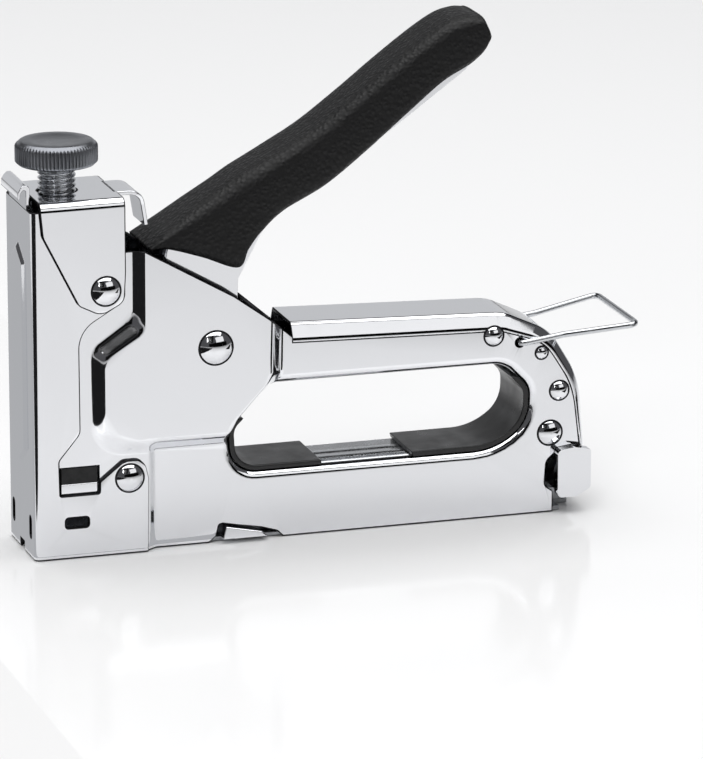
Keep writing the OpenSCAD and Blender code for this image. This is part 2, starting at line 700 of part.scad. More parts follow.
module pusher_spring() in_frame() color("gray")
    translate([boss_x + boss_l, 0, rod_z]) rotate([0, 90, 0]) difference() {
        cylinder(d = feed_spring_od, h = 158.5 + tail - boss_x - boss_l);
        translate([0, 0, -1]) cylinder(d = rod_d + 0.6, h = 180 + tail);
    }

body_shell();
nose_cover();
top_cap();
screw_bush();
bumper();
bumper_bar();
magazine_channel();
channel_lugs();
staple_rail();
front_insert();
rear_insert();
cap_rivets();
foot_rivet();
rear_rivets();
tail_rivet();
latch_pin();
pivot_pin();
pivot_spacers();
return_spring();
handle_channel();
handle_grip();
lift_arm();
arm_rivet();
roller_pin();
lift_roller();
striker_carrier();
driver_blade();
power_spring();
spring_seat();
adjusting_screw();
adjusting_knob();
wire_bail();
rear_latch();
feed_rod();
pusher();
pusher_spring();
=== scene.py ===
"""Squeeze-handle staple gun: chromed folded steel body, vinyl grip, knurled tension knob and wire bail."""

import json
import math

import bmesh
import bpy
from bpy.props import FloatProperty, FloatVectorProperty, IntProperty, PointerProperty
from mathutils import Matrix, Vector
from mathutils.geometry import delaunay_2d_cdt


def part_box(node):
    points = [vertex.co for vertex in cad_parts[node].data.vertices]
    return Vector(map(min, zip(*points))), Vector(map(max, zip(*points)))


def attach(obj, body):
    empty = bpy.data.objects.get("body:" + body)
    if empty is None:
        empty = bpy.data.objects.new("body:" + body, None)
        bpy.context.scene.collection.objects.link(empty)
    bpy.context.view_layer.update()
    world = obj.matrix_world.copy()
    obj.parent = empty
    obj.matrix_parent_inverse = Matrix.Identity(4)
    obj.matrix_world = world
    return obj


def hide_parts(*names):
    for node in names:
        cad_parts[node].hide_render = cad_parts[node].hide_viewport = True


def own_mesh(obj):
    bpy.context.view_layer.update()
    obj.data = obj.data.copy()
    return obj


bl_info = {
    "name": "Staple gun",
    "version": (1, 0, 0),
    "blender": (4, 5, 0),
    "location": "3D View > Sidebar > Staple gun",
    "description": "Makes the pieces, finishes and stage of a squeeze-handle staple gun round its CAD frame",
    "category": "Add Mesh",
}

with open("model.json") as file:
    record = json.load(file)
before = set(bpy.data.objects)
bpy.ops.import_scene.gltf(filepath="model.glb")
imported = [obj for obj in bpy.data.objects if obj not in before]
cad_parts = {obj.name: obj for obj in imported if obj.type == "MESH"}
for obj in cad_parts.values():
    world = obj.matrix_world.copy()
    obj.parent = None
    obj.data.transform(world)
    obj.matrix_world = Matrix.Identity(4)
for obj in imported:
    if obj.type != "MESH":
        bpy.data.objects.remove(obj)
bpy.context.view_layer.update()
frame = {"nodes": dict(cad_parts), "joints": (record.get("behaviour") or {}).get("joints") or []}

MM = 0.001
LIP_REACH = 2.4
NOSE_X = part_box("nose_cover")[0].x + LIP_REACH * MM
JOINTS = {j["name"]: j for j in frame["joints"]}


def place(x, y, z):
    """A point given in mm from the nose's front face, in the row frame."""
    return Vector((NOSE_X + x * MM, y * MM, z * MM))


# ---- sizes and colours ----


class SheetSettings(bpy.types.PropertyGroup):
    chrome: FloatVectorProperty(name="Chrome", description="Colour of the chrome plate", size=3, min=0, max=1,
                                subtype="COLOR_GAMMA", default=(0.93, 0.935, 0.945))
    edge_round: FloatProperty(name="Edge round", description="Rounding of cut and folded sheet edges, in mm",
                              default=0.3, min=0.05, max=0.5)


class GripSettings(bpy.types.PropertyGroup):
    vinyl: FloatVectorProperty(name="Vinyl", description="Colour of the grip's vinyl", subtype="COLOR_GAMMA",
                               size=3, min=0, max=1, default=(0.04, 0.04, 0.042))
    width: FloatProperty(name="Width", description="Width over the grip", unit="LENGTH",
                         default=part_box("handle_grip")[1].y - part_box("handle_grip")[0].y, min=0.02, max=0.024)
    grain: FloatProperty(name="Grain", description="Width of one cell of the leather grain, in mm",
                         default=1.3, min=0.4, max=3)


class KnobSettings(bpy.types.PropertyGroup):
    anodised: FloatVectorProperty(name="Anodised grey", description="Colour of the knob", size=3, min=0,
                                  max=1, subtype="COLOR_GAMMA", default=(0.50, 0.51, 0.53))
    ridges: IntProperty(name="Ridges", description="Knurled ridges round the rim", default=68, min=20, max=90)
    thread_pitch: FloatProperty(name="Thread pitch", description="Pitch of the adjusting screw, in mm",
                                default=1.5, min=0.8, max=2)


class WireSettings(bpy.types.PropertyGroup):
    power_turns: FloatProperty(name="Power spring turns", description="Coils of the power spring",
                               default=11.0)
    feed_turns: FloatProperty(name="Pusher spring turns", description="Coils of the pusher spring",
                              default=46.0)


# ---- materials ----


def linear(hex_colour):
    """An sRGB hex string as linear RGBA."""
    values = [int(hex_colour[i:i + 2], 16) / 255 for i in (1, 3, 5)]
    return (*[v / 12.92 if v <= 0.04045 else ((v + 0.055) / 1.055) ** 2.4 for v in values], 1.0)


def as_hex(colour):
    return "#" + "".join(f"{round(c * 255):02x}" for c in colour)


def add(tree, kind, values=None, links=None, **settings):
    """Adds one node with its settings, input values and links."""
    node = tree.nodes.new(kind)
    for name, value in settings.items():
        setattr(node, name, value)
    for name, value in (values or {}).items():
        node.inputs[name].default_value = value
    for name, source in (links or {}).items():
        tree.links.new(source, node.inputs[name])
    return node


def per_mm(size_mm):
    """Texture scale at which one feature is size_mm wide."""
    return 1 / (size_mm * MM)


class Look:
    """A material with one Principled shader, its node tree and its object coordinates."""

    def __init__(self, name, colour, metallic, roughness, specular=0.5):
        self.material = bpy.data.materials.new(name)
        self.material.use_nodes = True
        self.tree = self.material.node_tree
        self.shader = self.tree.nodes["Principled BSDF"]
        values = {"Base Color": linear(colour), "Metallic": metallic, "Roughness": roughness,
                  "Specular IOR Level": specular}
        for key, value in values.items():
            self.shader.inputs[key].default_value = value
        self.where = add(self.tree, "ShaderNodeTexCoord").outputs["Object"]

    def drive(self, source, key):
        """Links a node's output to one of the shader's inputs."""
        self.tree.links.new(source, self.shader.inputs[key])

    def vary_roughness(self, size_mm, low, high):
        """Lets the roughness drift between two values in soft patches; returns the patches."""
        values = {"Scale": per_mm(size_mm), "Detail": 5, "Roughness": 0.6}
        patch = add(self.tree, "ShaderNodeTexNoise", values, {"Vector": self.where}).outputs["Fac"]
        values = {"From Min": 0.3, "From Max": 0.7, "To Min": low, "To Max": high}
        drift = add(self.tree, "ShaderNodeMapRange", values, {"Value": patch})
        self.drive(drift.outputs["Result"], "Roughness")
        return patch


def chrome_plate(name="chrome_plate", colour="#edeef1", wave=0.06):
    """Bright chrome on pressed steel: mirror-like, with a faint ripple from the press and polishing lines."""
    look = Look(name, colour, 1.0, 0.07)
    look.vary_roughness(9, 0.045, 0.10)
    ripple = add(look.tree, "ShaderNodeTexNoise", {"Scale": per_mm(22), "Detail": 1.5}, {"Vector": look.where})
    relief = add(look.tree, "ShaderNodeBump", {"Strength": wave, "Distance": 0.6 * MM},
                 {"Height": ripple.outputs["Fac"]})
    look.drive(relief.outputs["Normal"], "Normal")
    return look.material


def painted_edge_shade():
    """Painted shade for sheet edges, rims and rivet rings: near-black metal standing in for shadow gaps and dark
    reflections.
    """
    look = Look("painted_edge_shade", "#2a2a2c", 1.0, 0.4)
    look.vary_roughness(1, 0.3, 0.5)
    return look.material


def zinc_steel(name="zinc_steel", colour="#b4b6b9", roughness=0.28):
    """Zinc-plated mild steel: soft grey shine with a fine drawn grain along its length."""
    look = Look(name, colour, 1.0, roughness)
    stretch = add(look.tree, "ShaderNodeMapping", {"Scale": (0.06, 1, 1)}, {"Vector": look.where})
    grain = add(look.tree, "ShaderNodeTexNoise", {"Scale": per_mm(0.35), "Detail": 3},
                {"Vector": stretch.outputs["Vector"]})
    relief = add(look.tree, "ShaderNodeBump", {"Strength": 0.12, "Distance": 0.05 * MM},
                 {"Height": grain.outputs["Fac"]})
    look.drive(relief.outputs["Normal"], "Normal")
    look.vary_roughness(5, roughness - 0.07, roughness + 0.1)
    return look.material


def phosphated_steel():
    """Hardened steel with a dark phosphate and oil finish: charcoal, faintly mottled, half dull."""
    look = Look("phosphated_steel", "#4b4c50", 1.0, 0.45)
    patch = look.vary_roughness(3, 0.32, 0.55)
    tint = add(look.tree, "ShaderNodeMix", {"A": linear("#3d3e42"), "B": linear("#5c5d61")},
               {"Factor": patch}, data_type="RGBA")
    look.drive(tint.outputs["Result"], "Base Color")
    return look.material


def spring_wire():
    """Drawn music wire with an oil film: mid-grey, with fine lines along the wire."""
    look = Look("spring_wire", "#85878b", 1.0, 0.3)
    patch = look.vary_roughness(1.5, 0.22, 0.42)
    relief = add(look.tree, "ShaderNodeBump", {"Strength": 0.1, "Distance": 0.05 * MM}, {"Height": patch})
    look.drive(relief.outputs["Normal"], "Normal")
    return look.material


def anodised_aluminium(settings):
    """Turned aluminium, anodised grey: satin, with the lathe's fine rings on its flat top."""
    look = Look("anodised_aluminium", as_hex(settings.anodised), 1.0, 0.34)
    centre = knob_axis()
    moved = add(look.tree, "ShaderNodeMapping", {"Location": (-centre.x, -centre.y, 0)},
                {"Vector": look.where})
    values = {"Scale": per_mm(0.6) / 6.283, "Distortion": 0.6, "Detail": 2}
    rings = add(look.tree, "ShaderNodeTexWave", values, {"Vector": moved.outputs["Vector"]},
                wave_type="RINGS", rings_direction="Z")
    relief = add(look.tree, "ShaderNodeBump", {"Strength": 0.12, "Distance": 0.05 * MM},
                 {"Height": rings.outputs["Fac"]})
    look.drive(relief.outputs["Normal"], "Normal")
    look.vary_roughness(4, 0.26, 0.4)
    return look.material


def leather_grain_vinyl(settings):
    """Black PVC pressed with a leather grain: small pebbled cells, soft creases and a low oily sheen."""
    look = Look("leather_grain_vinyl", as_hex(settings.vinyl), 0.0, 0.42, 0.3)
    warp = add(look.tree, "ShaderNodeTexNoise", {"Scale": per_mm(3.0)}, {"Vector": look.where})
    sway = (0.9 * MM,) * 3
    bent = add(look.tree, "ShaderNodeVectorMath", {1: sway}, {0: warp.outputs["Color"]}, operation="MULTIPLY")
    at = add(look.tree, "ShaderNodeVectorMath", None, {0: look.where, 1: bent.outputs["Vector"]},
             operation="ADD")
    cells = add(look.tree, "ShaderNodeTexVoronoi", {"Scale": per_mm(settings.grain), "Smoothness": 0.35},
                {"Vector": at.outputs["Vector"]}, feature="SMOOTH_F1")
    creases = add(look.tree, "ShaderNodeTexNoise", {"Scale": per_mm(9), "Detail": 4, "Roughness": 0.55},
                  {"Vector": look.where})
    fine = add(look.tree, "ShaderNodeTexNoise", {"Scale": per_mm(0.5), "Detail": 2}, {"Vector": look.where})
    base = add(look.tree, "ShaderNodeBump", {"Strength": 0.25, "Distance": 1.2 * MM},
               {"Height": creases.outputs["Fac"]})
    pebble = add(look.tree, "ShaderNodeMath", {1: -1.0}, {0: cells.outputs["Distance"]}, operation="MULTIPLY")
    middle = add(look.tree, "ShaderNodeBump", {"Strength": 0.7, "Distance": 0.35 * MM},
                 {"Height": pebble.outputs["Value"], "Normal": base.outputs["Normal"]})
    relief = add(look.tree, "ShaderNodeBump", {"Strength": 0.15, "Distance": 0.05 * MM},
                 {"Height": fine.outputs["Fac"], "Normal": middle.outputs["Normal"]})
    look.drive(relief.outputs["Normal"], "Normal")
    values = {"From Min": 0.0, "From Max": 0.6, "To Min": 0.33, "To Max": 0.56}
    shade = add(look.tree, "ShaderNodeMapRange", values, {"Value": cells.outputs["Distance"]})
    look.drive(shade.outputs["Result"], "Roughness")
    return look.material


def moulded_nylon():
    """Black glass-filled nylon, moulded: satin, with a spark-eroded texture too fine to see but as sheen."""
    look = Look("moulded_nylon", "#161617", 0.0, 0.33)
    spark = add(look.tree, "ShaderNodeTexNoise", {"Scale": per_mm(0.4), "Detail": 3}, {"Vector": look.where})
    relief = add(look.tree, "ShaderNodeBump", {"Strength": 0.18, "Distance": 0.06 * MM},
                 {"Height": spark.outputs["Fac"]})
    look.drive(relief.outputs["Normal"], "Normal")
    look.vary_roughness(6, 0.26, 0.4)
    return look.material


def bumper_rubber():
    """Moulded nitrile rubber: dull black with a dusty bloom."""
    look = Look("bumper_rubber", "#1b1b1c", 0.0, 0.75)
    bloom = look.vary_roughness(2, 0.62, 0.85)
    relief = add(look.tree, "ShaderNodeBump", {"Strength": 0.3, "Distance": 0.1 * MM}, {"Height": bloom})
    look.drive(relief.outputs["Normal"], "Normal")
    return look.material


# ---- mesh helpers ----


def in_scene(name, data):
    """A new object in the scene."""
    piece = bpy.data.objects.new(name, data)
    bpy.context.scene.collection.objects.link(piece)
    return piece


def aim(piece, centre, toward, front):
    """Stands an object at a point and turns its front to another."""
    piece.location = centre
    piece.rotation_euler = (Vector(toward) - Vector(centre)).to_track_quat(front, "Y").to_euler()


def modify(piece, name, kind, **settings):
    """Adds a modifier with its settings."""
    modifier = piece.modifiers.new(name, kind)
    for key, value in settings.items():
        setattr(modifier, key, value)


def finish_mesh(name, verts, faces, body, material, node, slot, close=True, painted_shade=()):
    """A smooth mesh piece that rides on a body and stands for a CAD node; its last argument flags the faces that
    take the second material, painted shade.
    """
    mesh = bpy.data.meshes.new(name)
    mesh.from_pydata([tuple(v) for v in verts], [], faces)
    work = bmesh.new()
    work.from_mesh(mesh)
    for face, is_painted_shade in zip(work.faces, painted_shade):
        face.material_index = int(is_painted_shade)
    bmesh.ops.remove_doubles(work, verts=work.verts, dist=1e-6)
    if close:
        bmesh.ops.recalc_face_normals(work, faces=work.faces)
    work.to_mesh(mesh)
    work.free()
    mesh.shade_smooth()
    mesh.materials.append(material)
    piece = in_scene(name, mesh)
    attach(piece, body)
    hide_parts(node)
    return piece


def crisp(piece, width_mm=0.3, segments=2, angle=32.0):
    """Rounds a piece's hard edges and keeps its flats flat under a mirror finish."""
    modify(piece, "weld", "WELD", merge_threshold=1e-6)
    modify(piece, "flats", "DECIMATE", decimate_type="DISSOLVE", angle_limit=math.radians(0.6))
    modify(piece, "rounding", "BEVEL", width=width_mm * MM, segments=segments, limit_method="ANGLE",
           angle_limit=math.radians(angle), miter_outer="MITER_ARC", use_clamp_overlap=True)
    modify(piece, "even", "WEIGHTED_NORMAL", weight=90, keep_sharp=False)
    piece.data.shade_smooth()


def dress(nodes, material, width_mm=0.3, segments=2, angle=32.0):
    """Gives CAD nodes their finish and rounds their hard edges."""
    for node in nodes:
        piece = frame["nodes"][node]
        piece.data.materials.clear()
        piece.data.materials.append(material)
        crisp(piece, width_mm, segments, angle)


def skin(rings, closed_rings=True, caps=True):
    """Vertices and faces of a loft through rings of equally many points."""
    count = len(rings[0])
    verts = [p for ring in rings for p in ring]
    faces = []
    for k in range(len(rings) - 1):
        for i in range(count if closed_rings else count - 1):
            a, b = k * count + i, k * count + (i + 1) % count
            faces.append((a, b, b + count, a + count))
    if caps:
        faces.append(tuple(range(count - 1, -1, -1)))
        faces.append(tuple(range((len(rings) - 1) * count, len(rings) * count)))
    return verts, faces


def ahead_at(points, i):
    """The direction of a route at one of its points."""
    return (points[min(i + 1, len(points) - 1)] - points[max(i - 1, 0)]).normalized()


def sweep(points, radius, sides=12):
    """Rings of a round wire along points, turned as little as possible from one to the next."""
    rings = []
    tangent = (points[1] - points[0]).normalized()
    side = tangent.orthogonal().normalized()
    for i, p in enumerate(points):
        ahead = ahead_at(points, i)
        turn = tangent.rotation_difference(ahead)
        tangent = ahead
        side = (turn @ side).normalized()
        other = tangent.cross(side)
        rings.append([p + radius * (math.cos(t) * side + math.sin(t) * other)
                      for t in (math.tau * k / sides for k in range(sides))])
    return rings


def curve(first, corner, last, steps):
    """Points of a smooth bend from first to last, drawn towards the corner."""
    return [first * (1 - t) ** 2 + corner * 2 * t * (1 - t) + last * t ** 2
            for t in (k / steps for k in range(steps + 1))]


def rounded_route(points, radii, steps=8):
    """A route whose inner corners are rounded to the given radii."""
    route = [points[0]]
    for before, corner, after, radius in zip(points, points[1:], points[2:], radii):
        back, ahead = (before - corner).normalized(), (after - corner).normalized()
        half = back.angle(ahead) / 2
        reach = min(radius / math.tan(half), 0.48 * min((before - corner).length, (after - corner).length))
        route += curve(corner + back * reach, corner, corner + ahead * reach, steps)
    route.append(points[-1])
    return route


def spread(points, per_step):
    """The same route with added points, so that no step is longer than per_step."""
    route = [points[0]]
    for a, b in zip(points, points[1:]):
        count = max(1, math.ceil((b - a).length / per_step))
        route += [a.lerp(b, k / count) for k in range(1, count + 1)]
    return route


def coil(centre, direction, mean_radius, length, turns, wire_radius, closed_turns=1.2, per_turn=28):
    """The route of a compression spring's wire, with closed turns at both ends."""
    across = direction.orthogonal().normalized()
    third = direction.cross(across)
    steps = int(turns * per_turn)
    pitch_closed = 2.04 * wire_radius
    pitch_free = (length - 2 * wire_radius - 2 * closed_turns * pitch_closed) / (turns - 2 * closed_turns)
    route = []
    for i in range(steps + 1):
        turn = turns * i / steps
        ends = min(turn, closed_turns) + max(0, turn - (turns - closed_turns))
        free = max(0.0, min(turn, turns - closed_turns) - closed_turns)
        rise = wire_radius + ends * pitch_closed + free * pitch_free
        angle = math.tau * turn
        round_it = math.cos(angle) * across + math.sin(angle) * third
        route.append(centre + direction * rise + mean_radius * round_it)
    return route


def turned(centre, height, sides, radius_at):
    """A ring round an upright axis; radius_at gives its radius at each share of a turn."""
    ring = []
    for i in range(sides):
        angle, radius = math.tau * i / sides, radius_at(i / sides)
        ring.append(centre + Vector((radius * math.cos(angle), radius * math.sin(angle), height)))
    return ring


def knob_axis():
    """The foot of the knob's turning axis."""
    low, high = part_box("adjusting_knob")
    return Vector(((low.x + high.x) / 2, 0, low.z))


# ---- outlines in mm ----


def fillet(before, corner, after, radius, steps=9):
    """Points of an arc that rounds a corner; each argument is an X, Z pair."""
    corner = Vector(corner)
    u, v = (Vector(before) - corner).normalized(), (Vector(after) - corner).normalized()
    half = math.acos(max(-1, min(1, u.dot(v)))) / 2
    centre = corner + (u + v).normalized() * radius / math.sin(half)
    first = corner + u * radius / math.tan(half) - centre
    last = corner + v * radius / math.tan(half) - centre
    begin = math.atan2(first.y, first.x)
    turn = (math.atan2(last.y, last.x) - begin + math.pi) % math.tau - math.pi
    angles = [begin + turn * i / steps for i in range(steps + 1)]
    return [centre + radius * Vector((math.cos(a), math.sin(a))) for a in angles]


def outline(points, closed=True):
    """Rounds the corners of an outline given as x, z, radius."""
    out = []
    for i, (x, z, radius) in enumerate(points):
        ends = not closed and i in (0, len(points) - 1)
        if radius == 0 or ends:
            out.append(Vector((x, z)))
        else:
            out += fillet(points[i - 1][:2], (x, z), points[(i + 1) % len(points)][:2], radius)
    return out


def four_corners(across, up, radius=0):
    """An outline between two positions across and two up, with rounded corners."""
    (left, right), (low, high) = across, up
    return outline([(left, low, radius), (right, low, radius), (right, high, radius), (left, high, radius)])


def offset(points, distance):
    """Moves a closed outline outwards along its corners' bisectors; its points run anticlockwise."""
    out = []
    for i, p in enumerate(points):
        a, b = (p - points[i - 1]).normalized(), (points[(i + 1) % len(points)] - p).normalized()
        m, n = Vector((a.y, -a.x)), Vector((b.y, -b.x))
        out.append(p + distance * (m + n) / (1 + m.dot(n)))
    return out


def distance_to(points, p):
    """How far a point is from a closed outline."""
    best = math.inf
    for i in range(len(points)):
        a, b = points[i - 1], points[i]
        edge = b - a
        t = max(0.0, min(1.0, (p - a).dot(edge) / max(edge.length_squared, 1e-12)))
        best = min(best, (a + edge * t - p).length_squared)
    return math.sqrt(best)


def inside(points, p):
    """Whether a point is inside a closed outline."""
    hit = False
    for i in range(len(points)):
        a, b = points[i - 1], points[i]
        if (a.y > p.y) != (b.y > p.y) and p.x < (b.x - a.x) * (p.y - a.y) / (b.y - a.y) + a.x:
            hit = not hit
    return hit


def turns_left(points):
    """Whether a closed outline runs anticlockwise."""
    return sum(a.x * b.y - a.y * b.x for a, b in zip(points, points[1:] + points[:1])) > 0


def smooth(t):
    """An S-shaped rise from 0 to 1."""
    t = max(0.0, min(1.0, t))
    return t * t * (3 - 2 * t)


def circle(centre, radius, steps=28):
    """A round outline."""
    angles = [math.tau * k / steps for k in range(steps)]
    return [Vector(centre) + radius * Vector((math.cos(a), math.sin(a))) for a in angles]


def roll(distance, half_width, radius):
    """How far out and how far down a point across a flat sheet ends up once its sides are folded."""
    flat, arc = half_width - radius, math.pi / 2 * radius
    side, far = math.copysign(1, distance), abs(distance)
    if far <= flat:
        return distance, 0.0
    if far <= flat + arc:
        angle = (far - flat) / radius
        return side * (flat + radius * math.sin(angle)), radius * (1 - math.cos(angle))
    return side * half_width, radius + far - flat - arc


def fold_lines(half_width, radius, count=8):
    """Distances across a flat sheet at which its two folds are creased."""
    flat, arc = half_width - radius, math.pi / 2 * radius
    return [side * (flat + arc * k / count) for side in (-1, 1) for k in range(count + 1)]


# Outlines seen from the side, as X, Z and corner radius in mm from the nose's front face and the sole.
LOOP = [(59.3, 20.1, 8), (138.5, 20.1, 20), (149.6, 27.4, 12), (149.6, 38.2, 6), (142.4, 45.8, 9),
        (71.3, 45.8, 6), (58.6, 33.6, 6)]
BOSS = [(33.4, 100, 0), (33.4, 64.9, 5), (21.5, 58, 5), (21.4, 33.8, 9.5), (58, 33.5, 1.5), (59.8, 37.4, 5),
        (69.2, 48.2, 5), (69.4, 100, 0)]
BOSS_FOOT = [(29.4, 100, 0), (29.4, 69.2, 5), (16.9, 61, 6), (16.6, 28.8, 10), (58.4, 28.6, 1.5),
             (60.8, 36, 5), (75.2, 48.6, 3), (75.9, 100, 0)]
BAR_EDGE = [(166.2, 19.5, 0), (164, 38, 28), (155, 52.4, 15), (141, 57.0, 14), (77.8, 58.7, 0)]
BAR_CROWN = [(166.9, 19.2, 0), (165.6, 39.5, 28), (156.6, 54.3, 15), (142.5, 60.8, 14), (77.8, 63.1, 0)]
HANDLE_SLOPE = [(77.8, 59.2), (69.7, 66.1), (59.2, 73.7), (33.1, 88.7), (27, 88.7), (27, 101.8)]
PANEL_FOOT = [(158.6, 18.7, 3), (154.9, 15.5, 3), (154.4, 8, 2), (157, 6.4, 1), (157, 0, 0), (74.5, 0, 0),
              (72.8, 1.7, 0), (68, 3.2, 0), (55.4, 5.4, 0.8), (54.5, 1.7, 0), (52.4, 0, 0), (1.2, 0, 0)]
COVER_SIDE = [(33.6, 0, 0), (33.9, 22, 1), (32.6, 27.6, 3.4), (26.5, 27.6, 3), (19.3, 22, 0.6),
              (19.2, 18.6, 0.6), (7.6, 18.6, 0.6), (7.4, 29, 2), (13.8, 36.6, 4), (13.7, 66.5, 9),
              (27.5, 74.6, 4), (27.5, 102.1, 0)]
COVER_LIP = [(0.0, 101.9), (0.0, 107.3), (-0.3, 107.8), (-0.9, 107.5), (-1.5, 106.7), (-1.7, 105.1),
             (-2.1, 104.95), (-2.4, 105.1), (-2.3, 106.9), (-1.6, 108.1), (-0.7, 108.9), (0.3, 109.0),
             (0.9, 108.6), (1.2, 107.8), (1.2, 101.9)]
CAP_EAR = [(3.1, 95, 3), (13.4, 74.3, 3), (20, 71, 5), (26.8, 74.6, 3.5), (27.3, 83, 0)]
# The rib is seen from the front, as Y and Z.
RIB = [(0, 25.3, 1.5), (7.5, 30.3, 2), (7.5, 86.1, 1.5), (0, 91.1, 1), (-7.5, 86.1, 1.5), (-7.5, 30.3, 2)]
SLOT_X, SLOT_Z, SLOT_RADIUS = (9.1, 15.9), (9.0, 12.0), 0.9
# The sheet's thickness, and how far each surface stands out from the middle.
WALL, PANEL, PLATE, BOSS_OUT, COVER_OUT, EAR_OUT, CROWN_HALF = 1.2, 11.5, 13.3, 15.5, 14.5, 15.7, 9.2
# Where the side steps in behind the nose, how long the step is, and the height of the nose plate.
STEP_X, STEP_LENGTH, PLATE_TOP = 33.6, 3.2, 101.8
# Radius of the lip rolled in round the hand loop, and of the bar's folds.
LIP, FOLD = 2.5, 1.0
# Width of the chamfered band along a cut edge, painted dark as shade, and how far its outer side drops.
CUT = 0.36
CUT_DROP = 0.6 * CUT


def sheet(name, edge, holes, rings, lines, to_space, outward, node, slot):
    """A sheet part: triangles between its outlines in a flat plane, then folded and thickened."""
    coords, links = [], []
    cuts = [offset(edge, -CUT if turns_left(edge) else CUT)]
    cuts += [offset(run, CUT if turns_left(run) else -CUT) for run in holes]
    for run, closed in [(r, True) for r in [edge] + holes + cuts + rings] + [(r, False) for r in lines]:
        first = len(coords)
        coords += run
        links += [(first + i, first + i + 1) for i in range(len(run) - 1)]
        if closed:
            links.append((first + len(run) - 1, first))
    flat, _, faces, *_ = delaunay_2d_cdt(coords, links, [], 0, 1e-4, False)

    def from_edge(p):
        return min(distance_to(run, p) for run in [edge] + holes)

    kept, painted_shade = [], []
    for face in faces:
        middle = sum((flat[i] for i in face), Vector((0, 0))) / len(face)
        if inside(edge, middle) and not any(inside(h, middle) for h in holes):
            kept.append(face)
            # Faces in the band along the edge take the dark second material: painted shade.
            painted_shade.append(from_edge(middle) < CUT)
    used = sorted({i for face in kept for i in face})
    number = {old: new for new, old in enumerate(used)}
    verts = [to_space(flat[i]) for i in used]
    kept = [tuple(number[i] for i in face) for face in kept]
    facing = sum((verts[b] - verts[a]).cross(verts[c] - verts[a]).dot(outward(verts[a])) for a, b, c in kept)
    if facing < 0:
        kept = [face[::-1] for face in kept]
    on_edge = 0.02
    for new, old in enumerate(used):
        if from_edge(flat[old]) < on_edge:
            verts[new] = verts[new] - outward(verts[new]).normalized() * CUT_DROP * MM
    sheet_piece(name, verts, kept, node, slot, painted_shade)


def sheet_piece(name, verts, faces, node, slot, painted_shade=()):
    """Thickens a surface inwards; its rims and the flagged band along its cut edges take the dark second
    material, painted shade.
    """
    chrome, cut = bpy.data.materials["chrome_plate"], bpy.data.materials["painted_edge_shade"]
    part = finish_mesh(name, verts, faces, "frame", chrome, node, slot, False, painted_shade)
    part.data.materials.append(cut)
    modify(part, "thickness", "SOLIDIFY", thickness=WALL * MM, offset=-1, material_offset_rim=1,
           use_even_offset=False)
    modify(part, "even", "WEIGHTED_NORMAL", weight=60)


# ---- operators ----


